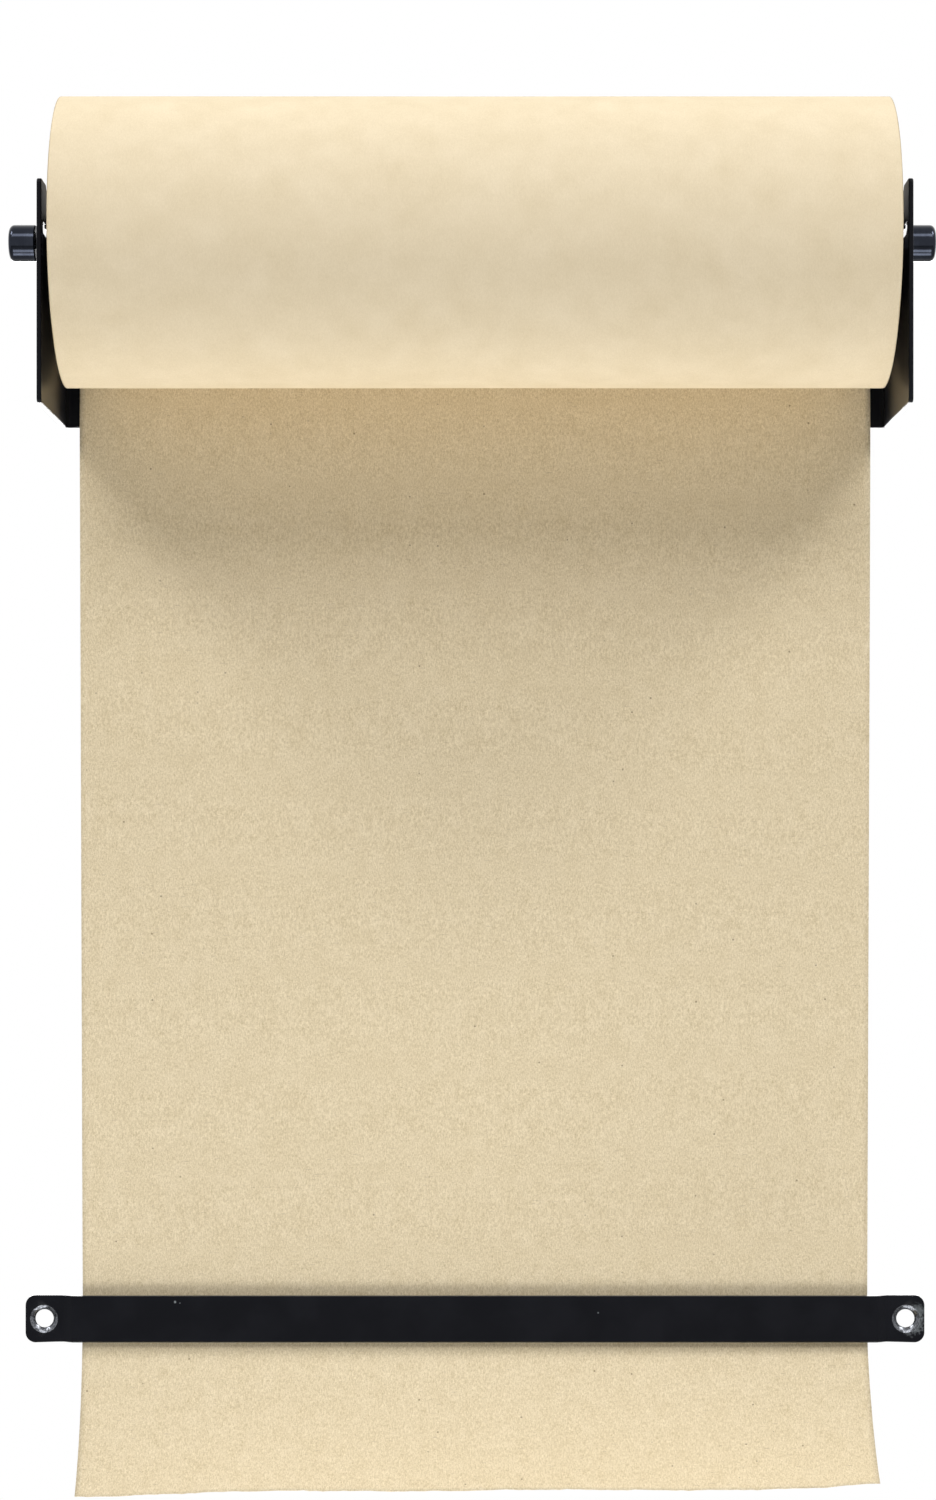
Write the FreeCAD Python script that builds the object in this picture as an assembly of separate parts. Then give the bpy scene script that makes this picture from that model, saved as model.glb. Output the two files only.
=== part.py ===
import FreeCAD, Part
import math
import os
from FreeCAD import Vector

# Wall-mounted paper roll holder: two bent steel brackets, a drop-in spindle rod, a kraft
# roll on plugs, its hanging sheet and a joggled cut bar. Millimetres, +X right, +Z up.
# The wall is the plane y = 0 and the front looks along -Y. The origin is on the wall, in
# the middle of the four bracket screw holes. "Depth" below is the distance from the wall.

# Roll of paper
paper_width = 203.2
roll_diameter = 71.2
roll_wall_gap = 2.75
core_bore = 25.4
core_wall = 2.0
wind_clearance = 0.05

# Plugs that centre the core on the rod
plug_press_clearance = 0.05
plug_flange_overlap = 1.0
plug_flange_thickness = 1.6
plug_length = 14.0
plug_wall = 1.6
plug_boss_wall = 2.1
plug_rib_thickness = 1.3
plug_rib_count = 4
plug_lead_in = 0.6
plug_edge_chamfer = 0.5
end_clearance = 0.05

# Bracket sheet metal
sheet = 1.2
bend_inner_radius = 1.2
plate_height = 54.8
seat_below_top = 13.9
seat_to_front = 12.45
roll_side_gap = 4.2
plate_corner_radius = 1.2
flange_width = 19.0
flange_corner_radius = 3.0
flange_hole_inset = 11.0
flange_hole_spacing = 32.0
flange_hole_diameter = 4.8

# Drop-in slot of each bracket
mouth_width = 4.6
mouth_lip_radius = 1.6
arm_reach = 9.0
arm_height = 3.0
arm_corner_radius = 1.0
arm_floor_above_axis = 1.1
slot_edge_radius = 0.4

# Spindle rod
rod_diameter = 9.0
neck_diameter = 2.8
neck_seat_clearance = 0.1
rod_end_float = 1.7
rod_end_gap = 0.15
knob_length = 6.6
knob_corner_radius = 1.3
neck_chamfer = 0.3
rod_bore_clearance = 0.08

# Cut bar
bar_drop = 271.5
bar_height = 12.2
bar_thickness = 1.5
bar_standoff = 1.6
bar_side_gap = 2.4
joggle_run = 2.5
joggle_bend_radius = 1.0
bar_tab_length = 9.8
bar_hole_from_end = 4.8
bar_hole_diameter = 4.7
bar_sink_diameter = 7.2
bar_corner_radius = 2.6
bar_tear_chamfer = 0.5

# Hanging sheet, drawn thicker than real paper so that it can be a solid; the angles are
# measured from straight down, towards the front
sheet_drawn_thickness = 0.3
sheet_roll_gap = 0.5
sheet_bar_gap = 0.3
sheet_leave_angle = 11.5
sheet_belly_radius = 190.0
bar_settle_radius = 120.0
tail_bar_angle = 20.0
tail_end_angle = 53.5
tail_bend_radius = 15.0
tail_curl_radius = 63.0

# Places worked out from the sizes above
roll_radius = roll_diameter / 2
rod_radius = rod_diameter / 2
neck_radius = neck_diameter / 2
axis_depth = roll_radius + roll_wall_gap
axis_height = plate_height / 2 - seat_below_top
plate_depth = axis_depth + seat_to_front
plate_inner_x = paper_width / 2 + roll_side_gap
plate_outer_x = plate_inner_x + sheet
core_radius = core_bore / 2 + core_wall
neck_length = sheet + rod_end_float
shoulder_inner_x = plate_inner_x + sheet / 2 - neck_length / 2
shoulder_outer_x = shoulder_inner_x + neck_length
rod_end_x = shoulder_outer_x + knob_length
rod_shift = shoulder_inner_x - plate_inner_x + rod_end_gap
bar_height_z = axis_height - bar_drop
bar_foot_x = paper_width / 2 + bar_side_gap + joggle_run
bar_end_x = bar_foot_x + bar_tab_length
bar_hole_x = bar_end_x - bar_hole_from_end


def rounded_outline(corners, place):
    """A closed wire through corners (u, v, radius), each rounded by a tangent arc of its
    own radius; place turns (u, v) into a point in space."""
    spots = [Vector(u, v, 0) for u, v, radius in corners]
    bends = []
    for index, spot in enumerate(spots):
        radius = corners[index][2]
        to_last = (spots[index - 1] - spot).normalize()
        to_next = (spots[(index + 1) % len(spots)] - spot).normalize()
        half_angle = to_last.getAngle(to_next) / 2
        reach = radius / math.tan(half_angle)
        inward = (to_last + to_next).normalize() * (radius / math.sin(half_angle) - radius)
        bend = (spot + to_last * reach, spot + inward, spot + to_next * reach)
        bends.append([place(point.x, point.y) for point in bend])
    edges = []
    for index, (start, middle, end) in enumerate(bends):
        if corners[index][2] > 0:
            edges.append(Part.Arc(start, middle, end).toShape())
        following = bends[(index + 1) % len(bends)][0]
        if end.distanceToPoint(following) > 1e-6:
            edges.append(Part.makeLine(end, following))
    return Part.Wire(edges)


def prism(wire, direction):
    """The solid that a closed flat outline sweeps along a straight direction."""
    return Part.Face(wire).extrude(direction)


def turned(profile):
    """A solid of revolution about the rod's axis; profile is a list of (x, radius, round)."""
    wire = rounded_outline(profile, lambda x, radius: Vector(x, -axis_depth, axis_height + radius))
    return Part.Face(wire).revolve(Vector(0, -axis_depth, axis_height), Vector(1, 0, 0), 360)


def tube(inner_radius, outer_radius, start_x, length):
    """A ring about the rod's axis from start_x along +X."""
    base = Vector(start_x, -axis_depth, axis_height)
    outer = Part.makeCylinder(outer_radius, length, base, Vector(1, 0, 0))
    return outer.cut(Part.makeCylinder(inner_radius, length, base, Vector(1, 0, 0)))


def mirrored(shape):
    """The left-hand copy of a right-hand piece."""
    return shape.mirror(Vector(0, 0, 0), Vector(1, 0, 0))


def bracket_side():
    """The right bracket seen from its side: a plain plate with rounded front corners and a
    slot open at the top. The slot widens into a cross slot, with lips that keep the rod from
    jumping out, and the neck of the rod rests in the U seat in the floor of it."""
    top = plate_height / 2
    half_mouth = mouth_width / 2
    seat = neck_radius + neck_seat_clearance
    floor = axis_height + arm_floor_above_axis
    roof = floor + arm_height
    lip = min(slot_edge_radius, arm_floor_above_axis * 0.9)
    rear = [
        (axis_depth - seat, axis_height - seat, seat),
        (axis_depth - seat, floor, lip),
        (axis_depth - arm_reach, floor, arm_corner_radius),
        (axis_depth - arm_reach, roof, arm_corner_radius),
        (axis_depth - half_mouth, roof, slot_edge_radius),
        (axis_depth - half_mouth, top, mouth_lip_radius),
    ]
    front = [(2 * axis_depth - depth, height, radius) for depth, height, radius in reversed(rear)]
    plate = [
        (0, top, 0),
        (0, -top, 0),
        (plate_depth, -top, plate_corner_radius),
        (plate_depth, top, plate_corner_radius),
    ]
    start_x = plate_outer_x - flange_width
    outline = rounded_outline(plate + front + rear, lambda d, z: Vector(start_x, -d, z))
    return prism(outline, Vector(flange_width, 0, 0))


def bracket_bend():
    """The folded sheet seen from above: the side plate, the bend at the wall and the flange
    that turns in behind the roll."""
    inner_x = plate_outer_x - sheet
    flange_x = plate_outer_x - flange_width
    section = [
        (plate_outer_x, 0, bend_inner_radius + sheet),
        (plate_outer_x, plate_depth, 0),
        (inner_x, plate_depth, 0),
        (inner_x, sheet, bend_inner_radius),
        (flange_x, sheet, 0),
        (flange_x, 0, 0),
    ]
    outline = rounded_outline(section, lambda x, d: Vector(x, -d, -plate_height / 2))
    return prism(outline, Vector(0, 0, plate_height))


def bracket_front():
    """The bracket seen from the front, which rounds the two free corners of the flange."""
    top = plate_height / 2
    flange_x = plate_outer_x - flange_width
    corners = [
        (flange_x, -top, flange_corner_radius),
        (plate_outer_x, -top, 0),
        (plate_outer_x, top, 0),
        (flange_x, top, flange_corner_radius),
    ]
    return prism(rounded_outline(corners, lambda x, z: Vector(x, 0, z)), Vector(0, -plate_depth, 0))


def right_bracket():
    bracket = bracket_bend().common(bracket_side()).common(bracket_front())
    hole_x = plate_outer_x - flange_hole_inset
    for side in (-1, 1):
        foot = Vector(hole_x, 0, side * flange_hole_spacing / 2)
        bracket = bracket.cut(Part.makeCylinder(flange_hole_diameter / 2, sheet, foot, Vector(0, -1, 0)))
    return bracket


def spindle_rod():
    """A plain round rod with a turned neck for each bracket, chamfered shoulders and rounded
    ends. It lies pushed to the left end of its float."""
    right_half = [
        (shoulder_inner_x - neck_chamfer, rod_radius, 0),
        (shoulder_inner_x, rod_radius - neck_chamfer, 0),
        (shoulder_inner_x, neck_radius, 0),
        (shoulder_outer_x, neck_radius, 0),
        (shoulder_outer_x, rod_radius - neck_chamfer, 0),
        (shoulder_outer_x + neck_chamfer, rod_radius, 0),
        (rod_end_x, rod_radius, knob_corner_radius),
        (rod_end_x, 0, 0),
    ]
    left_half = [(-x, radius, edge) for x, radius, edge in reversed(right_half)]
    rod = turned(left_half + right_half)
    rod.translate(Vector(rod_shift, 0, 0))
    return rod


def roll_core():
    return tube(core_bore / 2, core_radius, -paper_width / 2, paper_width)


def paper_roll():
    return tube(core_radius + wind_clearance, roll_radius, -paper_width / 2, paper_width)


def right_plug():
    """A moulded plug: a flange against the end of the core, a spigot inside it, and a boss
    with the rod's bore that thin ribs hold in the open middle."""
    bore = rod_radius + rod_bore_clearance
    boss = bore + plug_boss_wall
    spigot = core_bore / 2 - plug_press_clearance
    flange = core_radius + plug_flange_overlap
    seat_x = paper_width / 2 + end_clearance
    outer_x = seat_x + plug_flange_thickness
    inner_x = seat_x - plug_length
    shell = turned([
        (outer_x, bore, 0),
        (outer_x, flange - plug_edge_chamfer, 0),
        (outer_x - plug_edge_chamfer, flange, 0),
        (seat_x, flange, 0),
        (seat_x, spigot, 0),
        (inner_x + plug_lead_in, spigot, 0),
        (inner_x, spigot - plug_lead_in, 0),
        (inner_x, spigot - plug_wall, 0),
        (seat_x, spigot - plug_wall, 0),
        (seat_x, boss, 0),
        (inner_x, boss, 0),
        (inner_x, bore, 0),
    ])
    ribs = []
    for number in range(plug_rib_count):
        rib = Part.makeBox(plug_length, plug_rib_thickness, spigot - plug_wall / 2 - (bore + boss) / 2)
        rib.translate(Vector(inner_x, -axis_depth - plug_rib_thickness / 2,
                             axis_height + (bore + boss) / 2))
        rib.rotate(Vector(0, -axis_depth, axis_height), Vector(1, 0, 0), number * 360 / plug_rib_count)
        ribs.append(rib)
    return shell.fuse(ribs).removeSplitter()


def cut_bar():
    """A flat strap whose ends step back to the wall, so that the sheet runs behind it. Seen
    from above it is one bent strip; its four corners are round, its lower front edge is
    chamfered for tearing, and each foot has a countersunk hole."""
    ramp_x = bar_foot_x - joggle_run
    back = bar_standoff
    front = bar_standoff + bar_thickness
    inside = joggle_bend_radius
    outside = joggle_bend_radius + bar_thickness * math.tan(math.atan2(bar_standoff, joggle_run) / 2)
    right_half = [
        (ramp_x, back, inside),
        (bar_foot_x, 0, outside),
        (bar_end_x, 0, 0),
        (bar_end_x, bar_thickness, 0),
        (bar_foot_x, bar_thickness, inside),
        (ramp_x, front, outside),
    ]
    left_half = [(-x, depth, edge) for x, depth, edge in reversed(right_half)]
    low = bar_height_z - bar_height / 2
    plan = rounded_outline(right_half + left_half, lambda x, d: Vector(x, -d, low))
    bar = prism(plan, Vector(0, 0, bar_height))
    face = [
        (-bar_end_x, low, bar_corner_radius),
        (bar_end_x, low, bar_corner_radius),
        (bar_end_x, low + bar_height, bar_corner_radius),
        (-bar_end_x, low + bar_height, bar_corner_radius),
    ]
    bar = bar.common(prism(rounded_outline(face, lambda x, z: Vector(x, 0, z)), Vector(0, -front, 0)))
    tear_edge = Part.makePolygon([
        Vector(-ramp_x, -front, low),
        Vector(-ramp_x, -front, low + bar_tear_chamfer),
        Vector(-ramp_x, -front + bar_tear_chamfer, low),
        Vector(-ramp_x, -front, low),
    ])
    bar = bar.cut(prism(tear_edge, Vector(2 * ramp_x, 0, 0)))
    sink_depth = (bar_sink_diameter - bar_hole_diameter) / 2
    for side in (-1, 1):
        foot = Vector(side * bar_hole_x, 0, bar_height_z)
        bar = bar.cut(Part.makeCylinder(bar_hole_diameter / 2, front, foot, Vector(0, -1, 0)))
        rim = Vector(side * bar_hole_x, -bar_thickness, bar_height_z)
        sink = Part.makeCone(bar_sink_diameter / 2, bar_hole_diameter / 2, sink_depth, rim, Vector(0, 1, 0))
        bar = bar.cut(sink)
    return bar


def paper_web():
    """The hanging sheet from its side, one thin band. It hugs the back of the roll, leaves it
    a little forwards, bellies over to the bar, runs straight down behind it, turns out under
    it and curls forward as paper off a roll does. A heading is the angle from straight down,
    growing towards the front."""
    half = sheet_drawn_thickness / 2
    axis = Vector(axis_depth, axis_height, 0)
    behind_bar = bar_standoff - sheet_bar_gap - half
    bar_head = Vector(behind_bar, bar_height_z + bar_height / 2, 0)
    leave_heading = math.radians(sheet_leave_angle)
    tail_heading = math.radians(tail_bar_angle)
    end_heading = math.radians(tail_end_angle)

    def normal(heading):
        return Vector(math.cos(heading), math.sin(heading), 0)

    def bend(centre, radius, first, last):
        """The middle line of a bend as three (point, heading). A bend that turns forwards has
        its centre in front, and one that turns back has a negative radius."""
        return [(centre - normal(angle) * radius, angle) for angle in (first, (first + last) / 2, last)]

    hug = bend(axis, roll_radius + sheet_roll_gap + half, 0, leave_heading)
    belly_centre = hug[-1][0] - normal(leave_heading) * sheet_belly_radius
    to_bar = bar_head - belly_centre
    run_heading = math.atan2(to_bar.y, to_bar.x) + math.acos(sheet_belly_radius / to_bar.Length)
    belly = bend(belly_centre, -sheet_belly_radius, leave_heading, run_heading)
    settle = bend(bar_head + normal(run_heading) * bar_settle_radius, bar_settle_radius, run_heading, 0)
    bar_foot = Vector(settle[-1][0].x, bar_height_z - bar_height / 2, 0)
    turn = bend(bar_foot + normal(0) * tail_bend_radius, tail_bend_radius, 0, tail_heading)
    curl_centre = turn[-1][0] + normal(tail_heading) * tail_curl_radius
    curl = bend(curl_centre, tail_curl_radius, tail_heading, end_heading)

    def face_edges(offset):
        """The edges of one face of the sheet, offset from its middle line, and its two ends."""
        edges = []
        end = None
        for marks in (hug, belly, settle, turn, curl):
            spots = [point + normal(heading) * offset for point, heading in marks]
            arc = [Vector(-paper_width / 2, -spot.x, spot.y) for spot in spots]
            if end and end.distanceToPoint(arc[0]) > 1e-6:
                edges.append(Part.makeLine(end, arc[0]))
            edges.append(Part.Arc(*arc).toShape())
            end = arc[-1]
        return edges, edges[0].firstVertex().Point, end

    front, front_top, front_end = face_edges(half)
    back, back_top, back_end = face_edges(-half)
    edges = front + back + [Part.makeLine(front_top, back_top), Part.makeLine(front_end, back_end)]
    outline = Part.Wire(Part.__sortEdges__(edges))
    return prism(outline, Vector(paper_width, 0, 0))


nodes = {
    "left_bracket": lambda: mirrored(right_bracket()),
    "right_bracket": right_bracket,
    "spindle_rod": spindle_rod,
    "left_core_plug": lambda: mirrored(right_plug()),
    "right_core_plug": right_plug,
    "roll_core": roll_core,
    "paper_roll": paper_roll,
    "paper_web": paper_web,
    "cut_bar": cut_bar,
}

os.makedirs("parts", exist_ok=True)
for name, make in nodes.items():
    solid = make()
    solid.exportStep(f"parts/{name}.step")
    box = solid.BoundBox
    print(f"{name}: {len(solid.Solids)} solid, valid {solid.isValid()}, {solid.Volume:.1f} mm3, "
          f"{box.XLength:.2f} by {box.YLength:.2f} by {box.ZLength:.2f} mm")
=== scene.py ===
import math
import bmesh
import bpy
import numpy as np
from mathutils.geometry import delaunay_2d_cdt
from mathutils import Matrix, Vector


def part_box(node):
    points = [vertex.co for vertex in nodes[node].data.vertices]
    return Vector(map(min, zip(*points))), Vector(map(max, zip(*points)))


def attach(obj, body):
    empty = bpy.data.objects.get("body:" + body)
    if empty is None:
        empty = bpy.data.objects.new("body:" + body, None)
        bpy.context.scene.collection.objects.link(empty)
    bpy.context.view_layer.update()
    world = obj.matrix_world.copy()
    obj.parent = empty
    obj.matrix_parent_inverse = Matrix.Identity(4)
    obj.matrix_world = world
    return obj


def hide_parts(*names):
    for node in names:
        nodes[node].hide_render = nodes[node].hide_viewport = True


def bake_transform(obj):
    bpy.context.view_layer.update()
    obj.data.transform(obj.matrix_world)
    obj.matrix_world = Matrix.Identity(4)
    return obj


# A kraft paper roll on a black rod between two bent steel brackets, its sheet hanging
# behind a cut bar. Metres, the wall is y = 0 and the front looks along -Y.
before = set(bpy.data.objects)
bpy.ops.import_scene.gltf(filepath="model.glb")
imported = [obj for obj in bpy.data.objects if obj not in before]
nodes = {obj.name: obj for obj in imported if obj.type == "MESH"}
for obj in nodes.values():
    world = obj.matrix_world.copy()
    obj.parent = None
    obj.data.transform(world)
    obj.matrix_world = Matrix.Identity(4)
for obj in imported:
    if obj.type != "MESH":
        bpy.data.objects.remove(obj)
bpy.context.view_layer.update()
mm = 0.001
print("frame loaded:", ", ".join(sorted(nodes)))

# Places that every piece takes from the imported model
rollLow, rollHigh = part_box("paper_roll")
axisY = (rollLow.y + rollHigh.y) / 2
axisZ = (rollLow.z + rollHigh.z) / 2
rollRadius = (rollHigh.z - rollLow.z) / 2
paperHalf = rollHigh.x
plateLow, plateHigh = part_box("right_bracket")
barLow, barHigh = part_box("cut_bar")


# Mesh building

def addMesh(name, points, faces, materials):
    mesh = bpy.data.meshes.new(name)
    mesh.from_pydata(np.reshape(points, (-1, 3)).tolist(), [], faces)
    mesh.validate()
    for material in materials:
        mesh.materials.append(material)
    mesh.polygons.foreach_set("use_smooth", np.full(len(mesh.polygons), True))
    thing = bpy.data.objects.new(name, mesh)
    bpy.context.scene.collection.objects.link(thing)
    return thing


# Quads between neighbours of a grid whose rows or columns may close on themselves
def gridQuads(rows, columns, closeRows=False, closeColumns=False):
    index = np.arange(rows * columns).reshape(rows, columns)
    if closeRows:
        index = np.vstack([index, index[:1]])
    if closeColumns:
        index = np.hstack([index, index[:, :1]])
    corners = [index[:-1, :-1], index[1:, :-1], index[1:, 1:], index[:-1, 1:]]
    return np.stack(corners, -1).reshape(-1, 4).tolist()


# Welds doubled points, closes poles and turns every face outwards
def tidyShell(thing):
    shell = bmesh.new()
    shell.from_mesh(thing.data)
    bmesh.ops.remove_doubles(shell, verts=shell.verts, dist=1e-7)
    bmesh.ops.recalc_face_normals(shell, faces=shell.faces)
    shell.to_mesh(thing.data)
    shell.free()


# Shading that keeps the broad faces flat beside their small roundings
def flatFaces(thing):
    weigh = thing.modifiers.new("flatFaces", "WEIGHTED_NORMAL")
    weigh.keep_sharp = False
    weigh.weight = 100


# Corners (u, v, radius) become points along the outline, each corner an arc about the hub
# that lies radius / cos(turn / 2) from it along its bisector, so that the arc touches both
# sides; returns the points and the side of each that looks away from a loop drawn
# anticlockwise
def roundCorners(corners, steps=8, closed=True):
    spots = np.array([corner[:2] for corner in corners], float)
    before, after = np.roll(spots, 1, 0), np.roll(spots, -1, 0)
    if not closed:      # an open line runs straight on past its ends
        before[0] = 2 * spots[0] - spots[1]
        after[-1] = 2 * spots[-1] - spots[-2]
    points, normals = [], []
    for index, spot in enumerate(spots):
        radius = corners[index][2]
        come = (spot - before[index]) / np.linalg.norm(spot - before[index])
        go = (after[index] - spot) / np.linalg.norm(after[index] - spot)
        turn = math.atan2(come[0] * go[1] - come[1] * go[0], come @ go)
        rounded = radius > 0 and abs(turn) > 1e-4
        share = np.linspace(0, 1, steps + 1) if rounded else np.array([0.5])
        heading = math.atan2(come[1], come[0]) + share * turn
        side = np.stack([np.sin(heading), -np.cos(heading)], -1)
        if rounded:
            bisector = (go - come) / np.linalg.norm(go - come)
            hub = spot + bisector * radius / math.cos(turn / 2)
            points.append(hub + side * np.sign(turn) * radius)
        else:
            points.append(spot[None])
        normals.append(side)
    return np.concatenate(points), np.concatenate(normals)


# A flat circle, its centre plus the radius times (cos, sin), drawn clockwise so that its
# outward side looks into the hole
def holeLoop(u, v, radius, count=40):
    angle = -np.linspace(0, 2 * math.pi, count, endpoint=False)
    side = np.stack([np.cos(angle), np.sin(angle)], -1)
    return np.array([u, v]) + side * radius, -side


# Cut edge of a sheet as (inset, height) from one face to the other, both arrises quarter
# circles: inset is radius times 1 - sin, height is radius times 1 - cos
def roundRim(thickness, radius, steps=4):
    angle = np.linspace(0, math.pi / 2, steps + 1)
    low = np.stack([radius * (1 - np.sin(angle)), radius * (1 - np.cos(angle))], -1)
    high = np.stack([low[::-1, 0], thickness - low[::-1, 1]], -1)
    return np.concatenate([low, high])


# Triangles between the loops of one flat face. The first loop is the outline, and a triangle
# with all its corners on another loop lies in that hole and is left out.
def fillFace(flat, loops):
    corners = np.concatenate(loops)
    owner = np.repeat(np.arange(len(loops)), [len(loop) for loop in loops])
    sides = [np.stack([part, np.roll(part, -1)], -1)
             for part in (np.flatnonzero(owner == number) for number in range(len(loops)))]
    filled = delaunay_2d_cdt(flat[corners].tolist(), np.concatenate(sides).tolist(), [], 1, 1e-9)
    source = np.array([spots[0] for spots in filled[3]])
    triangles = source[np.array(filled[2])]
    owners = owner[triangles]
    inHole = (owners.min(1) == owners.max(1)) & (owners.min(1) > 0)
    return corners[triangles[~inHole]].tolist()


# A sheet-metal piece from loops of (points, outward sides, rim, tinted levels). The point on
# a rim's level is the loop's point less its side times the inset, at the rim's height; the
# levels from tinted[0] to tinted[1] take the second material. The two faces are filled, the
# blank is cut across at the fold lines, and fold(u, v, h) bends it.
def pressSheet(name, loops, foldLines, fold, materials):
    points = np.zeros((0, 3))
    faces, tints = [], []
    back, front = [], []
    for flat, sides, rim, tinted in loops:
        if rim.ndim == 2:
            rim = np.repeat(rim[:, None], len(flat), 1)
        rings = np.dstack([flat - sides * rim[..., :1], rim[..., 1]])
        index = len(points) + np.arange(rings[..., 0].size).reshape(rings.shape[:2])
        level = np.arange(len(rings) - 1).repeat(len(flat))
        faces += (len(points) + np.array(gridQuads(*index.shape, closeColumns=True))).tolist()
        tints += ((level >= tinted[0]) & (level < tinted[1])).astype(int).tolist()
        points = np.concatenate([points, rings.reshape(-1, 3)])
        back.append(index[0])
        front.append(index[-1])
    faces += fillFace(points[:, :2], back) + fillFace(points[:, :2], front)
    tints += [0] * (len(faces) - len(tints))
    strip = addMesh(name, points, faces, materials)
    mesh = strip.data
    mesh.polygons.foreach_set("material_index", tints)
    metal = bmesh.new()
    metal.from_mesh(mesh)
    for line in foldLines:
        everything = metal.verts[:] + metal.edges[:] + metal.faces[:]
        bmesh.ops.bisect_plane(metal, geom=everything, dist=1e-7, plane_co=(line, 0, 0), plane_no=(1, 0, 0))
    metal.to_mesh(mesh)
    metal.free()
    blank = np.zeros(len(mesh.vertices) * 3)
    mesh.vertices.foreach_get("co", blank)
    mesh.vertices.foreach_set("co", np.stack(fold(*blank.reshape(-1, 3).T), -1).ravel())
    tidyShell(strip)
    flatFaces(strip)
    return strip


# Shader maths: a number that lives in a material, with the usual operators
class Field:
    def __init__(self, paint, socket):
        self.paint, self.socket = paint, socket

    def __add__(self, other):
        return self.paint.maths("ADD", self, other)

    def __radd__(self, other):
        return self.paint.maths("ADD", other, self)

    def __sub__(self, other):
        return self.paint.maths("SUBTRACT", self, other)

    def __rsub__(self, other):
        return self.paint.maths("SUBTRACT", other, self)

    def __mul__(self, other):
        return self.paint.maths("MULTIPLY", self, other)

    def __rmul__(self, other):
        return self.paint.maths("MULTIPLY", other, self)

    def __truediv__(self, other):
        return self.paint.maths("DIVIDE", self, other)

    def __rtruediv__(self, other):
        return self.paint.maths("DIVIDE", other, self)


# The nodes of a new material, or of the world
class Paint:
    def __init__(self, name, world=False):
        self.owner = (bpy.data.worlds if world else bpy.data.materials).new(name)
        self.owner.use_nodes = True
        self.tree = self.owner.node_tree
        self.shader = self.tree.nodes["Background" if world else "Principled BSDF"]

    # Any node: its type, the settings it needs first, then values or links by socket. It gives
    # one output, or a list where several are named.
    def add(self, kind, settings=None, sockets=None, output=0):
        node = self.tree.nodes.new(kind)
        for key, value in (settings or {}).items():
            setattr(node, key, value)
        for key, value in (sockets or {}).items():
            self.set(node.inputs[key], value)
        if isinstance(output, tuple):
            return [Field(self, node.outputs[name]) for name in output]
        return Field(self, node.outputs[output])

    def set(self, socket, value):
        if isinstance(value, Field):
            self.tree.links.new(value.socket, socket)
        elif hasattr(value, "__len__") and len(value) == 3 and socket.type == "RGBA":
            socket.default_value = (*value, 1)
        else:
            socket.default_value = value

    def maths(self, operation, first, second):
        return self.add("ShaderNodeMath", {"operation": operation}, {0: first, 1: second})

    def place(self):
        return self.add("ShaderNodeTexCoord", output="Object")

    # Object coordinates stretched by (x, y, z) about a centre, in metres
    def stretched(self, scale, centre=(0, 0, 0), turn=(0, 0, 0)):
        moved = [-c * s for c, s in zip(centre, scale)]
        return self.add("ShaderNodeMapping", None,
                        {"Vector": self.place(), "Location": moved, "Rotation": turn, "Scale": scale})

    def noise(self, vector, scale, detail=2.0, roughness=0.5):
        return self.add("ShaderNodeTexNoise", {"noise_dimensions": "3D"},
                        {"Vector": vector, "Scale": scale, "Detail": detail, "Roughness": roughness})

    # Smooth step of a field from low to high, as 0 to 1
    def step(self, field, low, high):
        return self.add("ShaderNodeMapRange", {"interpolation_type": "SMOOTHSTEP", "clamp": True},
                        {"Value": field, "From Min": low, "From Max": high})

    # Two colours mixed; sockets 6 and 7 and output 2 are the node's colours
    def mix(self, share, first, second):
        return self.add("ShaderNodeMix", {"data_type": "RGBA"}, {0: share, 6: first, 7: second}, output=2)

    def bump(self, height, distance, strength):
        sockets = {"Height": height, "Distance": distance, "Strength": strength}
        return self.add("ShaderNodeBump", None, sockets)

    # Distance from a centre, along the axes whose scale isn't 0
    def distance(self, scale, centre=(0, 0, 0)):
        flat = self.stretched(scale, centre)
        return self.add("ShaderNodeVectorMath", {"operation": "LENGTH"}, {0: flat}, output="Value")

    def finish(self, **sockets):
        for key, value in sockets.items():
            self.set(self.shader.inputs[key.replace("_", " ")], value)
        return self.owner


# sRGB numbers from 0 to 255 as the shader's own linear colour
def colour(red, green, blue):
    share = np.array([red, green, blue]) / 255
    return tuple(np.where(share <= 0.04045, share / 12.92, ((share + 0.055) / 1.055) ** 2.4).tolist())


# Finishes

kraftLook = {
    "sheet": (229, 212, 177),       # plain tone of the hanging sheet
    "roll": (234, 217, 184),        # the roll's tone: the sheet's paper painted paler, as painted light for the brighter light on the roll
    "fleck": (128, 100, 66),        # brown fibres and specks
    # how strongly each mark shows on the sheet and on the roll
    "sheetMarks": {"streaks": 2.8, "clouds": 0.35, "cloudScale": 260, "flecks": 1.0},
    "rollMarks": {"streaks": 0.6, "clouds": 0.42, "cloudScale": 130, "flecks": 0.0},
    "streakAcross": 3000, "streakAlong": 1300,
    "grainScale": 3600,
    "depth": (20, 22, 27),          # how far the grain darkens and lightens the tone
    "fibreTurns": (0.5, 1.9, 2.7), "fibreLengths": (420, 380, 460), "fibreAcross": 3600,
    "speckScale": 420, "speckShare": 0.95,
    "roughness": 0.86,
    "bump": (0.03 * mm, 0.2),       # depth and strength, here and in the other finishes
}


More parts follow.
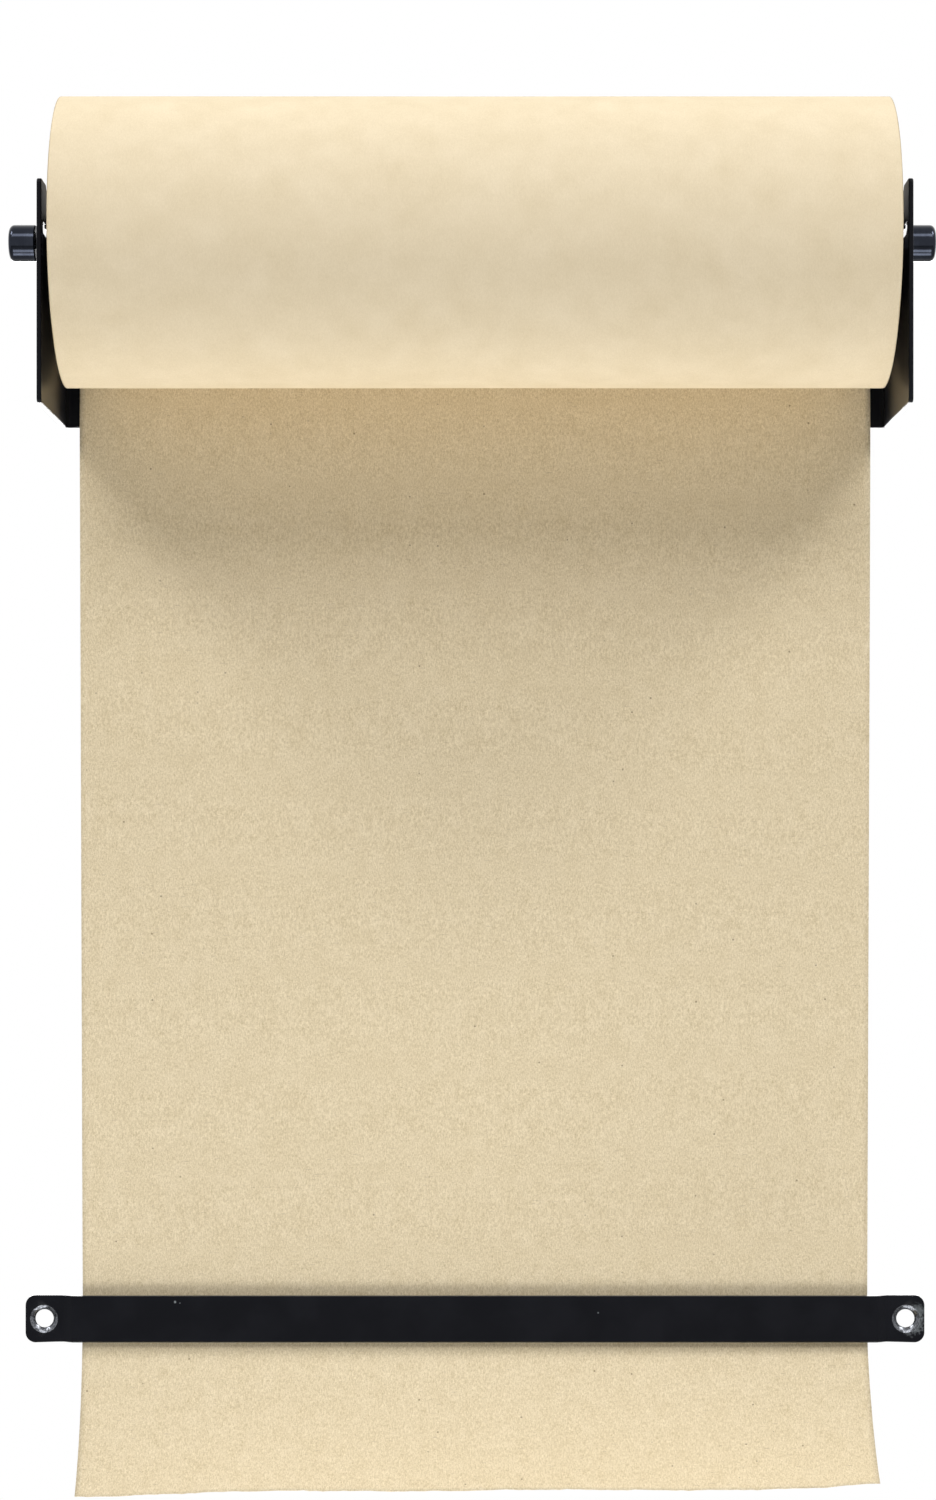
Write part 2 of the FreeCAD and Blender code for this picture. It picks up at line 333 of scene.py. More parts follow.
# Kraft paper: fine streaks along the machine direction, grain, faint clouds, and on the
# sheet a few fibres and specks
def kraftPaper(name, plain, marks):
    look = kraftLook
    paint = Paint(name)
    along = look["streakAlong"]
    streaks = paint.noise(paint.stretched((look["streakAcross"], along, along)), 1.0, 2, 0.6)
    grain = paint.noise(paint.place(), look["grainScale"], 1)
    clouds = paint.noise(paint.place(), marks["cloudScale"], 3)
    share = (streaks * 0.6 + grain * 0.4 - 0.5) * marks["streaks"] + (clouds - 0.5) * marks["clouds"] + 0.5
    dark = colour(*(np.array(plain) - look["depth"]))
    light = colour(*np.minimum(np.array(plain) + look["depth"], 255))
    tone = paint.mix(share, dark, light)
    strands = []
    for turn, length in zip(look["fibreTurns"], look["fibreLengths"]):
        thin = paint.stretched((length, length, look["fibreAcross"]), turn=(0, turn, 0))
        strands.append(paint.step(paint.noise(thin, 1.0, 1, 0.4), 0.72, 0.82))
    fibres = paint.maths("MAXIMUM", paint.maths("MAXIMUM", strands[0], strands[1]), strands[2])
    cells = {"Vector": paint.stretched([look["speckScale"]] * 3), "Scale": 1.0}
    near, cell = paint.add("ShaderNodeTexVoronoi", None, cells, output=("Distance", "Color"))
    pick = paint.add("ShaderNodeSeparateColor", None, {0: cell})
    specks = paint.step(near, 0.14, 0.06) * paint.step(pick, look["speckShare"], look["speckShare"] + 0.01)
    tone = paint.mix((fibres * 0.25 + specks * 0.7) * marks["flecks"], tone, colour(*look["fleck"]))
    height = streaks * 0.5 + grain * 0.3 + clouds * 0.2
    return paint.finish(Base_Color=tone, Roughness=look["roughness"] + streaks * 0.06, Specular_IOR_Level=0.2,
                        Normal=paint.bump(height, *look["bump"]))


layerLook = {
    "dark": (176, 148, 106),
    "fineScale": 5200, "broadScale": 700, "grainScale": 2200,
    "wobbleScale": 60, "wobble": 0.6 * mm,      # how far the rings run out of round
    "plainShare": 0.35,             # of the sheet's own tone over the rings
    "roughness": 0.92,
    "bump": (0.12 * mm, 0.7),
}


# The roll's ends: thousands of layer edges as rings about the axis, a few of them darker
def woundEnd():
    look = layerLook
    paint = Paint("woundPaperEnd")
    radius = paint.distance((0, 1, 1), centre=(0, axisY, axisZ))
    ringed = radius + paint.noise(paint.place(), look["wobbleScale"], 2) * look["wobble"]
    fine, broad = [paint.add("ShaderNodeTexNoise", {"noise_dimensions": "1D"},
                             {"W": ringed, "Scale": scale, "Detail": detail})
                   for scale, detail in ((look["fineScale"], 2), (look["broadScale"], 3))]
    grain = paint.noise(paint.place(), look["grainScale"], 2)
    # the lighter rings take the roll's tone, which is painted paler than the sheet's to stand for brighter
    # light
    tone = paint.mix(paint.step(fine * 0.55 + broad * 0.3 + grain * 0.15, 0.34, 0.66),
                     colour(*look["dark"]), colour(*kraftLook["roll"]))
    tone = paint.mix(look["plainShare"], tone, colour(*kraftLook["sheet"]))
    return paint.finish(Base_Color=tone, Roughness=look["roughness"], Specular_IOR_Level=0.15,
                        Normal=paint.bump(fine * 0.6 + broad * 0.4, *look["bump"]))


powderLook = {
    "black": (13, 14, 19), "grey": (19, 20, 25),
    "roughness": 0.36, "shine": 0.08,
    "glossSlant": (0.45, 0.85), "glossRoughness": 0.38,     # how slanted the gloss starts and is full
    "peelScale": 1500, "bloomScale": 90,
    "bump": (0.04 * mm, 0.4),
    "bare": (150, 156, 160), "raggedness": 1.2,
    # where the bar's paint is worn: across, height, radius in millimetres, and how far it is bare
    "wear": ((-77.4, -253.4, 0.38, 0.9), (-76.2, -253.7, 0.25, 0.5), (31.8, -256.2, 0.3, 0.5),
             (113.3, -259.0, 3.6, 0.55), (114.4, -256.2, 2.6, 0.35)),
}


# Black powder coat: a fine orange peel with a faint greyer bloom, worn places, and a gloss
# that only shows along the surface
def powderCoat(name, worn):
    look = powderLook
    paint = Paint(name)
    peel = paint.noise(paint.place(), look["peelScale"], 2, 0.55)
    bloom = paint.noise(paint.place(), look["bloomScale"], 3)
    tone = paint.mix(paint.step(bloom, 0.35, 0.7), colour(*look["black"]), colour(*look["grey"]))
    for across, height, radius, bare in worn:
        away = paint.distance((1, 0, 1), centre=(across * mm, 0, height * mm))
        ragged = away / (radius * mm) + (peel - 0.5) * look["raggedness"]
        tone = paint.mix(paint.step(ragged, 1.0, 0.3) * bare, tone, colour(*look["bare"]))
    slant = paint.add("ShaderNodeLayerWeight", None, {"Blend": 0.5}, output="Facing")
    return paint.finish(Base_Color=tone, Roughness=look["roughness"] + bloom * 0.1,
                        Specular_IOR_Level=look["shine"],
                        Coat_Weight=paint.step(slant, *look["glossSlant"]),
                        Coat_Roughness=look["glossRoughness"], Normal=paint.bump(peel, *look["bump"]))


rodLook = {
    "black": (43, 46, 54), "worn": (60, 64, 73), "roughness": 0.07,
    "lineScale": (9000, 60, 60), "rubScale": 300, "rubAmount": 0.6,
    "bump": (0.02 * mm, 0.35),
}


# Blackened steel rod: fine turning lines round it and paler rubbed patches
def blackRod():
    look = rodLook
    paint = Paint("blackRod")
    lines = paint.noise(paint.stretched(look["lineScale"]), 1.0, 2, 0.6)
    rub = paint.noise(paint.place(), look["rubScale"], 4, 0.6)
    worn = paint.step(rub * 0.7 + lines * 0.3, 0.45, 0.75) * look["rubAmount"]
    tone = paint.mix(worn, colour(*look["black"]), colour(*look["worn"]))
    return paint.finish(Base_Color=tone, Roughness=look["roughness"] + rub * 0.1, Metallic=1.0,
                        Normal=paint.bump(lines, *look["bump"]))


steelLook = {
    "dark": (72, 74, 78), "light": (116, 118, 123), "roughness": 0.14, "grainScale": 2400,
    "bump": (0.02 * mm, 0.4),
}


# Darkened steel in the countersinks
def darkSteel():
    look = steelLook
    paint = Paint("darkSteel")
    grain = paint.noise(paint.place(), look["grainScale"], 3)
    tone = paint.mix(paint.step(grain, 0.35, 0.65), colour(*look["dark"]), colour(*look["light"]))
    return paint.finish(Base_Color=tone, Roughness=look["roughness"] + grain * 0.16, Metallic=1.0,
                        Normal=paint.bump(grain, *look["bump"]))


boardLook = {
    "dark": (150, 120, 84), "light": (186, 154, 112), "roughness": 0.9, "fibreScale": 900,
    "bump": (0.1 * mm, 0.6),
}


# Grey-brown board of the core, its fibres a little longer along the tube
def coreBoard():
    look = boardLook
    paint = Paint("coreBoard")
    fibre = paint.noise(paint.stretched((1, 2, 2)), look["fibreScale"], 4, 0.6)
    tone = paint.mix(paint.step(fibre, 0.3, 0.7), colour(*look["dark"]), colour(*look["light"]))
    return paint.finish(Base_Color=tone, Roughness=look["roughness"], Specular_IOR_Level=0.15,
                        Normal=paint.bump(fibre, *look["bump"]))


plugLook = {
    "dark": (30, 30, 32), "light": (44, 44, 47), "roughness": 0.5, "sparkScale": 2400,
    "bump": (0.04 * mm, 0.5),
}


# Moulded black of the core plugs, with the fine spark texture of a mould
def mouldedBlack():
    look = plugLook
    paint = Paint("mouldedBlack")
    spark = paint.noise(paint.place(), look["sparkScale"], 2)
    tone = paint.mix(spark, colour(*look["dark"]), colour(*look["light"]))
    return paint.finish(Base_Color=tone, Roughness=look["roughness"] + spark * 0.1, Specular_IOR_Level=0.35,
                        Normal=paint.bump(spark, *look["bump"]))


sheetKraft = kraftPaper("kraftSheet", kraftLook["sheet"], kraftLook["sheetMarks"])
# The roll's paper is the sheet's paper with a paler tone painted in, as painted light for the roll's brighter
# lighting
rollKraftPaintedPaler = kraftPaper("kraftRollPaintedPaler", kraftLook["roll"], kraftLook["rollMarks"])
layers = woundEnd()
powder = powderCoat("powderCoat", ())
barPowder = powderCoat("barPowderCoat", powderLook["wear"])
rodFinish = blackRod()
steel = darkSteel()
board = coreBoard()
plugBlack = mouldedBlack()
print("finishes made")


# The camera stands level in front of the wall. Its frame is 936 by 1500 pixels, and the
# photograph's vanishing point lies at pixel (475, 850).
shot = {
    "width": 936, "height": 1500,
    "vanishX": 475, "vanishY": 850,
    "focalPixels": 3337,
    "distance": 864.8 * mm,
    "eyeHeight": -136.7 * mm,
}
lens = bpy.data.cameras.new("frontCamera")
lens.sensor_width = 36
lens.lens = shot["focalPixels"] / shot["height"] * lens.sensor_width
lens.shift_x = (shot["width"] / 2 - shot["vanishX"]) / shot["height"]
lens.shift_y = (shot["vanishY"] - shot["height"] / 2) / shot["height"]
lens.clip_start = 0.01
lens.clip_end = 100
camera = bpy.data.objects.new("frontCamera", lens)
camera.location = (0, -shot["distance"], shot["eyeHeight"])
camera.rotation_euler = (math.pi / 2, 0, 0)
bpy.context.scene.collection.objects.link(camera)
bpy.context.scene.camera = camera


# Roll of paper

rollBuild = {
    "around": 288,
    "along": 48,
    "rings": 46,
    "edgeRound": 0.25 * mm,
    "boreGap": 0.05 * mm,           # between the core and the first wrap
    "layerStep": 0.10 * mm,         # how far single layers stand back from the end
    "layerWaves": 2.1,              # and how often, in radians per millimetre of radius
    "dent": 0.10 * mm,              # hand-soft hollows in the outer wraps
    "dentWaves": 0.03, "dentTwist": 0.013,      # radians per millimetre along the roll
    "dentDepth": 0.03,              # share of the radius that the hollows reach into
}


# A smooth repeatable roughness: half the sum of sines of one variable, each quicker than
# the last and as much weaker
def ripple(value, seed, waves=5):
    dice = np.random.default_rng(seed)
    total = np.zeros_like(value)
    for number in range(waves):
        quickness = 1 + number * dice.uniform(0.7, 1.3)
        total = total + np.sin(value * quickness + dice.uniform(0, 6.28)) / (1 + number)
    return total / 2


# A ring-shaped surface of revolution about the rod: its profile runs out along the left
# end, over the rounded edge, along the outside, down the right end and back up the bore.
# Depth and height are the axis plus the radius, less the hollows, times cosine and sine.
def buildRoll():
    size = rollBuild
    coreLow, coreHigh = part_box("roll_core")
    bore = (coreHigh.z - coreLow.z) / 2 + size["boreGap"]
    radii = np.linspace(bore, rollRadius - size["edgeRound"], size["rings"])
    setBack = size["layerStep"] * (0.5 + 0.5 * ripple(radii / mm * size["layerWaves"], 3))
    bend = np.linspace(0, math.pi / 2, 5)[1:-1]
    edgeX = -paperHalf + size["edgeRound"] * (1 - np.sin(bend))
    edgeR = rollRadius - size["edgeRound"] * (1 - np.cos(bend[::-1]))
    leftX = np.concatenate([-paperHalf + setBack, edgeX])
    leftR = np.concatenate([radii, edgeR])
    middleX = np.linspace(-paperHalf + size["edgeRound"], paperHalf - size["edgeRound"], size["along"])
    profileX = np.concatenate([leftX, middleX, -leftX[::-1]])
    profileR = np.concatenate([leftR, np.full(size["along"], rollRadius), leftR[::-1]])
    angle = np.linspace(0, 2 * math.pi, size["around"], endpoint=False)
    x, turn = np.meshgrid(profileX, angle, indexing="ij")
    r = np.repeat(profileR[:, None], size["around"], 1)
    reach = rollRadius * size["dentDepth"]
    outside = np.clip((r - rollRadius + reach) / reach, 0, 1)
    soft = ripple(turn * 2 + x / mm * size["dentTwist"], 5) * ripple(x / mm * size["dentWaves"] + 1.3, 8)
    r = r - outside * size["dent"] * (0.5 + 0.5 * np.clip(soft, -1, 1))
    grid = np.stack([x, axisY + r * np.cos(turn), axisZ + r * np.sin(turn)], -1)
    roll = addMesh("wound_roll", grid, gridQuads(*x.shape, True, True), [rollKraftPaintedPaler, layers])
    centres = np.zeros(len(roll.data.polygons) * 3)
    roll.data.polygons.foreach_get("center", centres)
    atEnd = np.abs(centres.reshape(-1, 3)[:, 0]) > paperHalf - size["edgeRound"] * 1.2
    roll.data.polygons.foreach_set("material_index", atEnd.astype(int))
    tidyShell(roll)
    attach(roll, "roll")
    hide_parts("paper_roll")


buildRoll()
print("roll wound")


# Hanging sheet

sheetBuild = {
    "thickness": 0.13 * mm,
    "across": 120,
    "rollGap": 0.12 * mm,           # the sheet lies on the roll as its last wrap
    "wrapStart": -48,               # degrees from straight down where the drawn wrap begins
    "leave": 11.5,                  # heading at which it leaves the roll
    "bellyRadius": 190 * mm,
    "barDepth": 0.4 * mm,           # the sheet's middle where it goes in behind the bar
    "footTurn": 9,                  # heading at which it comes out below the bar
    "steps": {"hug": 40, "belly": 24, "straight": 90, "behind": 12},
    "freeBelow": 0.6,               # share of the roll's radius below its axis where it hangs free
    "wave": 0.35 * mm,
    "waveEase": 30 * mm, "tailEase": 20 * mm,   # over which the wave grows from where it is held
    "waveAcross": 0.021, "waveDown": 0.016, "tailWave": 0.03,       # radians per millimetre
    "tailShare": 0.9,               # of the wave's height in the tail
}

# Below the bar the sheet curls forward, more at its right edge than at its left; each pair
# is left edge, right edge, and angles are from straight down
tailBuild = {
    "steps": 44,
    "turn": (5, 22),
    "end": (44, 60),
    "turnRun": 4 * mm,
    "tearPlaces": (-1, -0.54, 0, 0.82, 1),
    "tearLengths": (41.3 * mm, 40.3 * mm, 41.3 * mm, 43.2 * mm, 42.5 * mm),
    "tearRoughness": 0.16 * mm,
    "tearWaves": 0.35, "fibreWaves": 1.9,       # radians per millimetre along the tear
}


# The sheet's middle line from its side down to the bar's foot, as depth, height and heading
# along its length. It is arcs and straight runs end to end, and a heading grows from
# straight down to the front.
def sheetLine():
    size, steps = sheetBuild, sheetBuild["steps"]
    rad = math.radians

    def side(heading):
        return np.stack([np.cos(heading), np.sin(heading)], -1)

    # A point of an arc is its start plus the radius times the first side less its own
    def arc(start, radius, first, last, count):
        heading = np.linspace(first, last, count)
        return start + radius * (side(first) - side(heading)), heading

    hub = np.array([-axisY, axisZ])
    hugRadius = rollRadius + size["rollGap"] + size["thickness"] / 2
    hug = arc(hub - hugRadius * side(rad(size["wrapStart"])), hugRadius,
              rad(size["wrapStart"]), rad(size["leave"]), steps["hug"])
    leave = hug[0][-1]
    barHead = np.array([size["barDepth"], barHigh.z])
    bellyHub = leave - size["bellyRadius"] * side(rad(size["leave"]))
    toBar = barHead - bellyHub
    run = math.atan2(toBar[1], toBar[0]) + math.acos(size["bellyRadius"] / np.linalg.norm(toBar))
    belly = arc(leave, -size["bellyRadius"], rad(size["leave"]), run, steps["belly"])
    foot = rad(size["footTurn"])
    behindRadius = (barHigh.z - barLow.z) / (math.sin(foot) - math.sin(run))
    behind = arc(barHead, behindRadius, run, foot, steps["behind"])
    straight = np.linspace(belly[0][-1], barHead, steps["straight"])[1:-1]
    parts = [hug, belly, (straight, np.full(len(straight), run)), behind]
    line = np.concatenate([part[0] for part in parts])
    heading = np.concatenate([part[1] for part in parts])
    keep = np.append(True, np.linalg.norm(np.diff(line, axis=0), axis=1) > 1e-6)
    return line[keep], heading[keep]


# Values at marked places, eased from one mark to the next by 3 share^2 - 2 share^3
def easeBetween(where, places, values):
    index = np.clip(np.searchsorted(places, where, side="right") - 1, 0, len(places) - 2)
    low, high = np.take(places, index), np.take(places, index + 1)
    share = np.clip((where - low) / (high - low), 0, 1)
    first, last = np.take(values, index), np.take(values, index + 1)
    return first + (last - first) * share * share * (3 - 2 * share)


# The tail below the bar: along every line down the sheet the heading first turns out under
# the bar and then grows steadily, and depth and height are the sums of its sine and cosine
def tailGrid(x, start, first):
    size = tailBuild
    spot = x / paperHalf
    share = np.linspace(0, 1, size["steps"] + 1)[:, None]
    length = easeBetween(spot, size["tearPlaces"], size["tearLengths"])
    ragged = ripple(x / mm * size["tearWaves"], 14, 6) + 0.5 * ripple(x / mm * size["fibreWaves"], 15, 6)
    length = length + size["tearRoughness"] * ragged
    turn, end = [np.radians(left + (right - left) * (spot + 1) / 2)
                 for left, right in (size["turn"], size["end"])]
    run = share * length
    heading = first + (turn - first) * np.clip(run / size["turnRun"], 0, 1) + (end - turn) * share
    middle = (heading[1:] + heading[:-1]) / 2
    step = np.diff(run, axis=0)
    depth = start[0] + np.cumsum(np.sin(middle) * step, axis=0)
    height = start[1] - np.cumsum(np.cos(middle) * step, axis=0)
    return depth, height, heading[1:]


# The line is carried across the paper's width and the tail grid continues it to the torn
# edge. Where the sheet hangs free a slow wave, the product of a ripple across it and one
# down it, lifts each point square to the sheet.
def buildSheet():
    size = sheetBuild
    line, heading = sheetLine()
    x = np.linspace(-paperHalf, paperHalf, size["across"])
    tailDepth, tailHeight, tailHeading = tailGrid(x, line[-1], heading[-1])
    depth = np.concatenate([np.repeat(line[:, :1], len(x), 1), tailDepth])
    z = np.concatenate([np.repeat(line[:, 1:], len(x), 1), tailHeight])
    turn = np.concatenate([np.repeat(heading[:, None], len(x), 1), tailHeading])
    across = np.repeat(x[None], len(z), 0)
    leaveAt = axisZ - rollRadius * size["freeBelow"]
    ease = size["waveEase"]
    free = np.clip((leaveAt - z) / ease, 0, 1) * np.clip((z - barHigh.z) / ease, 0, 1)
    tail = np.clip((barLow.z - z) / size["tailEase"], 0, 1)
    wave = ripple(across / mm * size["waveAcross"] + 0.4, 11, 3) * ripple(z / mm * size["waveDown"], 12, 3)
    tailWave = size["tailShare"] * ripple(across / mm * size["tailWave"], 13, 3)
    lift = size["wave"] * (free * wave + tail * tailWave)
    depth = depth + lift * np.cos(turn)
    z = z + lift * np.sin(turn)
    grid = np.stack([across, -depth, z], -1)
    paper = addMesh("hanging_sheet", grid, gridQuads(*z.shape), [sheetKraft])
    body = paper.modifiers.new("paperThickness", "SOLIDIFY")
    body.thickness = size["thickness"]
    body.offset = 0
    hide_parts("paper_web")
    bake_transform(paper)


buildSheet()
print("sheet hung")


# Brackets

bracketBuild = {
    "sheet": 1.2 * mm,
    "bendRadius": 1.2 * mm,
    "rim": 0.28 * mm,
    "cornerRadius": 1.2 * mm,
    "flangeCorner": 3.0 * mm,
    "mouth": 4.6 * mm, "lipRadius": 1.6 * mm,       # the slot's open top
    "armReach": 9.0 * mm, "armHeight": 3.0 * mm, "armCorner": 1.0 * mm, "armFloor": 1.1 * mm,
    "seatRadius": 1.5 * mm, "edgeRadius": 0.4 * mm,
    "holeInset": 11 * mm, "holeSpacing": 32 * mm, "holeRadius": 2.4 * mm,
}


# The blank is flat: u runs from the plate's front edge to the wall and on along the
# flange, v is height and h the thickness from the inner face; fold bends it by 90 degrees
def buildBracket(name, node, hand):
    size = bracketBuild
    depth, top = -plateLow.y, plateHigh.z
    inner = plateHigh.x - size["sheet"]
    hub = np.array([inner - size["bendRadius"], size["sheet"] + size["bendRadius"]])
    plateRun = depth - hub[1]
    bendRun = math.pi / 2 * (size["bendRadius"] + size["sheet"] / 2)
    flangeRun = hub[0] - plateLow.x
    seat = depth + axisY
    floor = axisZ + size["armFloor"]
    roof = floor + size["armHeight"]
    lower = [
        (size["seatRadius"], axisZ - size["seatRadius"], size["seatRadius"]),
        (size["seatRadius"], floor, size["edgeRadius"]),
        (size["armReach"], floor, size["armCorner"]),
        (size["armReach"], roof, size["armCorner"]),
        (size["mouth"] / 2, roof, size["edgeRadius"]),
        (size["mouth"] / 2, top, size["lipRadius"]),
    ]
    rear = [(seat + reach, height, radius) for reach, height, radius in lower]
    front = [(seat - reach, height, radius) for reach, height, radius in lower]
    end = plateRun + bendRun + flangeRun
    plateCorner, flangeCorner = size["cornerRadius"], size["flangeCorner"]
    outline = [(0, -top, plateCorner), (end, -top, flangeCorner), (end, top, flangeCorner),
               *rear[::-1], *front, (0, top, plateCorner)]
    holeU = plateRun + bendRun + hub[0] - (plateHigh.x - size["holeInset"])
    rim = roundRim(size["sheet"], size["rim"])
    plain = (0, 0)
    loops = [(*roundCorners(outline), rim, plain)]
    for side in (-1, 1):
        loops.append((*holeLoop(holeU, side * size["holeSpacing"] / 2, size["holeRadius"]), rim, plain))

    # A point on the bend is the hub plus its radius times the cosine and sine of the turn
    def fold(u, v, h):
        turn = np.clip((u - plateRun) / bendRun, 0, 1) * math.pi / 2
        radius = size["bendRadius"] + h
        past = np.clip(u - plateRun - bendRun, 0, None)
        x = np.where(u < plateRun, inner + h, hub[0] + radius * np.cos(turn) - past)
        away = np.where(u < plateRun, depth - u, hub[1] - radius * np.sin(turn))
        return hand * x, -away, v

    lines = plateRun + bendRun * np.linspace(0, 1, 11)
    bracket = pressSheet(name, loops, lines, fold, [powder])
    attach(bracket, "wall_parts")
    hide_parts(node)


buildBracket("bent_bracket_right", "right_bracket", 1)
buildBracket("bent_bracket_left", "left_bracket", -1)
print("brackets bent")


# Cut bar

barBuild = {
    "thickness": 1.5 * mm,
    "standoff": 1.6 * mm,
    "rampStart": 104.0 * mm, "rampRun": 2.5 * mm, "rampRound": 1.0 * mm,
    "corner": 2.6 * mm,
    "rim": 0.2 * mm,
    "chamfer": 0.5 * mm,
    "holeFromEnd": 4.8 * mm, "holeRadius": 2.35 * mm, "sinkRadius": 3.6 * mm, "holeArris": 0.1 * mm,
}


# A strap pressed from a flat blank: u runs along it, v is height and h the thickness from
# the wall side. The ends step back to the wall on a short rounded ramp, the lower edge is
# chamfered for the tear, and the countersinks are bare steel.
def buildBar():
    size = barBuild
    end, low, high = barHigh.x, barLow.z, barHigh.z
    corners = [(-end, low, size["corner"]), (end, low, size["corner"]),
               (end, high, size["corner"]), (-end, high, size["corner"])]
    points, normals = roundCorners(corners, 10)
    cut = len(points) // 4
    bottom = [(-size["rampStart"], low), (size["rampStart"], low)]     # the chamfer's two ends
    points = np.concatenate([points[:cut], bottom, points[cut:]])
    normals = np.concatenate([normals[:cut], [(0, -1), (0, -1)], normals[cut:]])
    rim = np.repeat(roundRim(size["thickness"], size["rim"])[:, None, :], len(points), 1)
    tearEdge = (normals[:, 1] < -0.99) & (np.abs(points[:, 0]) < size["rampStart"] + 0.1 * mm)
    chamfer = np.clip(rim[:, 0, 1] - size["thickness"] + size["chamfer"], 0, None)
    rim[:, tearEdge, 0] = np.maximum(rim[:, tearEdge, 0], chamfer[:, None])
    sink, arris = size["sinkRadius"] - size["holeRadius"], size["holeArris"]
    land = size["thickness"] - sink
    holeRim = np.array([[arris, 0], [0, arris], [0, land], [sink, size["thickness"]]])
    loops = [(points, normals, rim, (0, 0))]
    for side in (-1, 1):
        spot = side * (end - size["holeFromEnd"])
        loops.append((*holeLoop(spot, (low + high) / 2, size["holeRadius"]), holeRim, (2, 3)))
    rampEnd = size["rampStart"] + size["rampRun"]
    ramp = roundCorners([(0, size["standoff"], 0), (size["rampStart"], size["standoff"], size["rampRound"]),
                         (rampEnd, 0, size["rampRound"]), (end, 0, 0)], 6, False)[0]

    # Depth is the ramp's at the same place along it plus the height above the back
    def fold(u, v, h):
        return u, -np.interp(np.abs(u), ramp[:, 0], ramp[:, 1]) - h, v

    lines = np.concatenate([-ramp[1:-1, 0], ramp[1:-1, 0]])
    bar = pressSheet("cut_bar_strap", loops, lines, fold, [barPowder, steel])
    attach(bar, "wall_parts")
    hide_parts("cut_bar")


buildBar()
print("bar pressed")


# Rod

rodBuild = {
    "radius": 4.5 * mm, "neck": 1.4 * mm,
    "chamfer": 0.3 * mm, "endRound": 1.3 * mm,
    "edge": 0.1 * mm, "neckEdge": 0.15 * mm,
    "knob": 6.6 * mm, "neckLength": 2.9 * mm,
    "around": 96,
}


# A turned bar: its profile along X is spun about the rod's axis, so depth and height are
# the axis plus the profile's radius times cosine and sine
def buildRod():
    size = rodBuild
    low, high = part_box("spindle_rod")
    middle = (low.x + high.x) / 2
    half = (high.x - low.x) / 2
    outer = half - size["knob"]
    inner = outer - size["neckLength"]
    right = [
        (inner - size["chamfer"], size["radius"], size["edge"]),
        (inner, size["radius"] - size["chamfer"], size["edge"]),
        (inner, size["neck"], size["neckEdge"]),
        (outer, size["neck"], size["neckEdge"]),
        (outer, size["radius"] - size["chamfer"], size["edge"]),
        (outer + size["chamfer"], size["radius"], size["edge"]),
        (half, size["radius"], size["endRound"]),
        (half, 0, 0),
    ]
    left = [(-x, radius, edge) for x, radius, edge in right[::-1]]
    profile = roundCorners(left + right, 8, False)[0]
    angle = np.linspace(0, 2 * math.pi, size["around"], endpoint=False)
    x, turn = np.meshgrid(profile[:, 0] + middle, angle, indexing="ij")
    r = np.repeat(profile[:, 1][:, None], size["around"], 1)
    grid = np.stack([x, axisY + r * np.cos(turn), axisZ + r * np.sin(turn)], -1)
    rod = addMesh("turned_rod", grid, gridQuads(*x.shape, False, True), [rodFinish])
    tidyShell(rod)
    flatFaces(rod)
    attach(rod, "rod")
    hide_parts("spindle_rod")


buildRod()
print("rod turned")


# Core and plugs keep their own meshes and take a finish
def finishNode(name, material):
    mesh = nodes[name].data
    mesh.materials.clear()
    mesh.materials.append(material)


finishNode("roll_core", board)
finishNode("left_core_plug", plugBlack)
finishNode("right_core_plug", plugBlack)


# Studio: a faint pale surround, a wide soft lamp high in front, one at each side, two low
# ones that lift the roll's underside and one behind. Each lamp is given as degrees up,
# degrees round from the front, distance, width, height and watts.
studio = {
    "surround": 0.10,
    "aim": (0, -0.04, -0.12),
    "lamps": {
        "frontLamp": (47, 0, 2.4, 3.0, 0.7, 28.8),
        "leftLamp": (50, -65, 2.4, 0.7, 0.7, 22.7),
        "rightLamp": (50, 65, 2.4, 0.7, 0.7, 22.7),
        "lowLamp": (-55, 0, 1.1, 0.8, 0.35, 4.1),
        "floorLamp": (-82, 0, 1.1, 0.8, 0.35, 4.4),
        "backLamp": (0, 180, 2.4, 1.6, 0.7, 26),
    },
    "floorHeight": -1.3, "floorSize": 6.0,
    "floorTone": (238, 238, 236), "floorMottle": (246, 246, 245), "mottleScale": 40, "mottleShare": 0.2,
    "shadowReach": (0.25, 0.55),    # the camera sees the floor fade to white between these
}


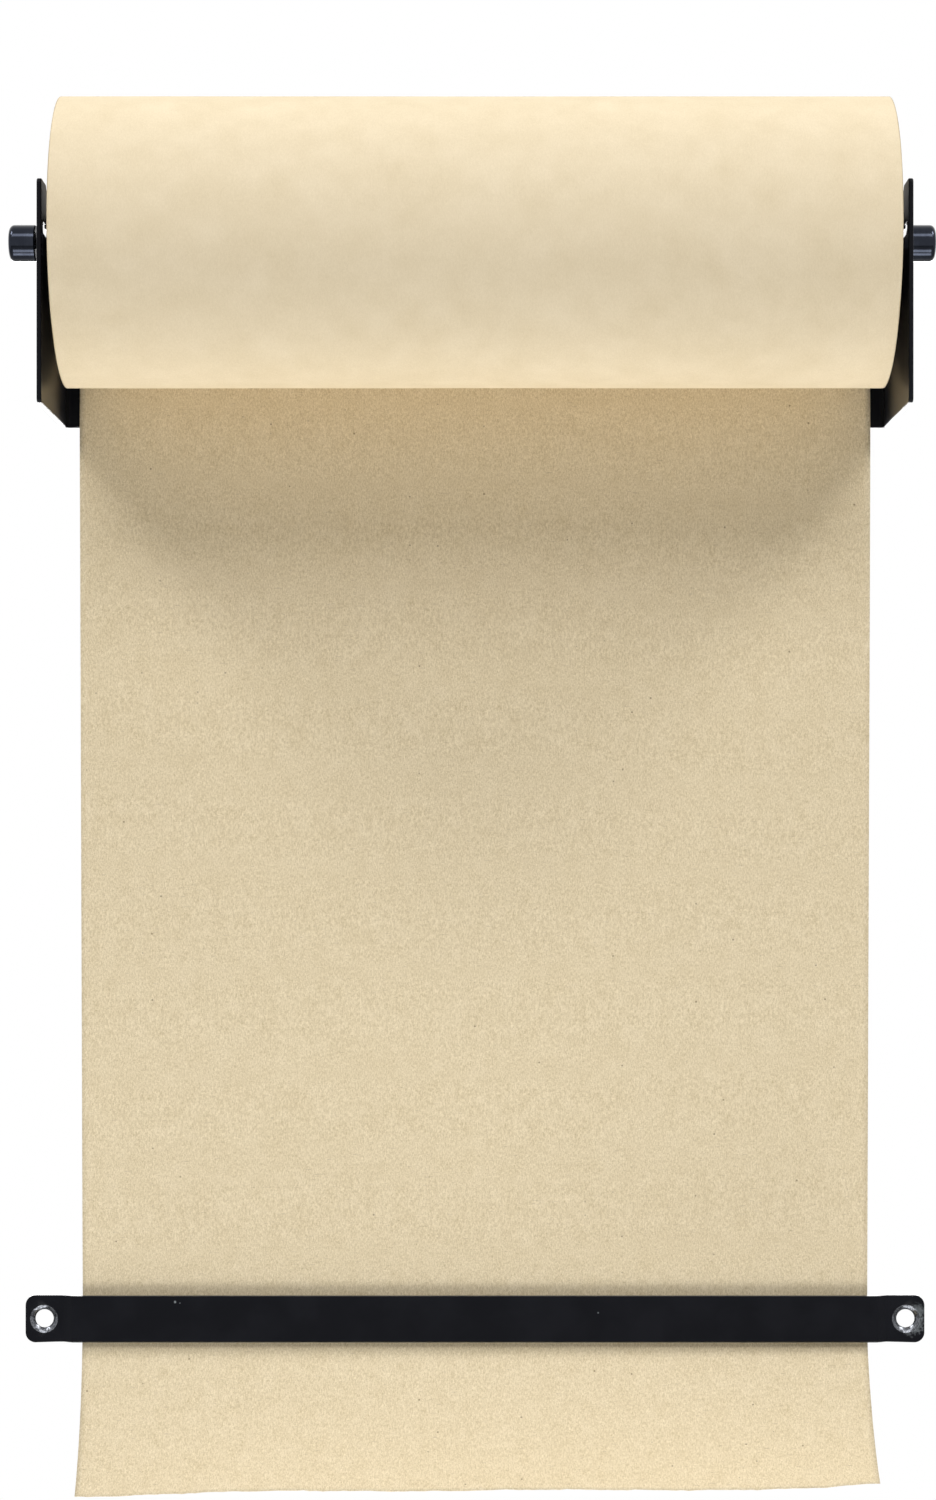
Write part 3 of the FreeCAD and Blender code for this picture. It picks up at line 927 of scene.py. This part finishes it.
# The camera, mirrors and glass see the surround at full strength, all else sees it dimmed
def buildWorld():
    paint = Paint("paleSurround", world=True)
    bpy.context.scene.world = paint.owner
    rays = ("Is Camera Ray", "Is Glossy Ray", "Is Transmission Ray")
    seen, glossy, through = paint.add("ShaderNodeLightPath", output=rays)
    clear = paint.maths("MAXIMUM", paint.maths("MAXIMUM", seen, glossy), through)
    sockets = {"Value": clear, "To Min": studio["surround"], "To Max": 1.0}
    paint.finish(Color=(1, 1, 1), Strength=paint.add("ShaderNodeMapRange", None, sockets))


def addLamp(name, rise, turn, distance, width, height, power):
    lamp = bpy.data.lights.new(name, "AREA")
    lamp.shape = "RECTANGLE"
    lamp.energy = power
    lamp.size, lamp.size_y = width, height
    rise, turn = math.radians(rise), math.radians(turn)
    away = np.array([math.cos(rise) * math.sin(turn), -math.cos(rise) * math.cos(turn), math.sin(rise)])
    thing = bpy.data.objects.new(name, lamp)
    thing.location = np.array(studio["aim"]) + away * distance
    thing.rotation_euler = (math.pi / 2 - rise, 0, turn)
    bpy.context.scene.collection.objects.link(thing)


def buildFloor():
    half, height = studio["floorSize"] / 2, studio["floorHeight"]
    points = [(-half, -half, height), (half, -half, height), (half, half, height), (-half, half, height)]
    paint = Paint("paleFloor")
    reach = paint.distance((1, 1, 0))
    mottle = paint.noise(paint.place(), studio["mottleScale"], 3) * studio["mottleShare"]
    tone = paint.mix(mottle, colour(*studio["floorTone"]), colour(*studio["floorMottle"]))
    paint.finish(Base_Color=tone, Roughness=0.8, Specular_IOR_Level=0.1)
    seen = paint.add("ShaderNodeLightPath", output="Is Camera Ray")
    white = paint.add("ShaderNodeEmission", None, {"Strength": 1.0})
    share = seen * paint.step(reach, *studio["shadowReach"])
    lit = Field(paint, paint.shader.outputs[0])
    faded = paint.add("ShaderNodeMixShader", None, {0: share, 1: lit, 2: white})
    paint.set(paint.tree.nodes["Material Output"].inputs["Surface"], faded)
    floor = addMesh("pale_floor", points, [(0, 1, 2, 3)], [paint.owner])


buildWorld()
for lampName, values in studio["lamps"].items():
    addLamp(lampName, *values)
buildFloor()
bpy.context.scene.view_settings.view_transform = "Standard"
print("studio set")
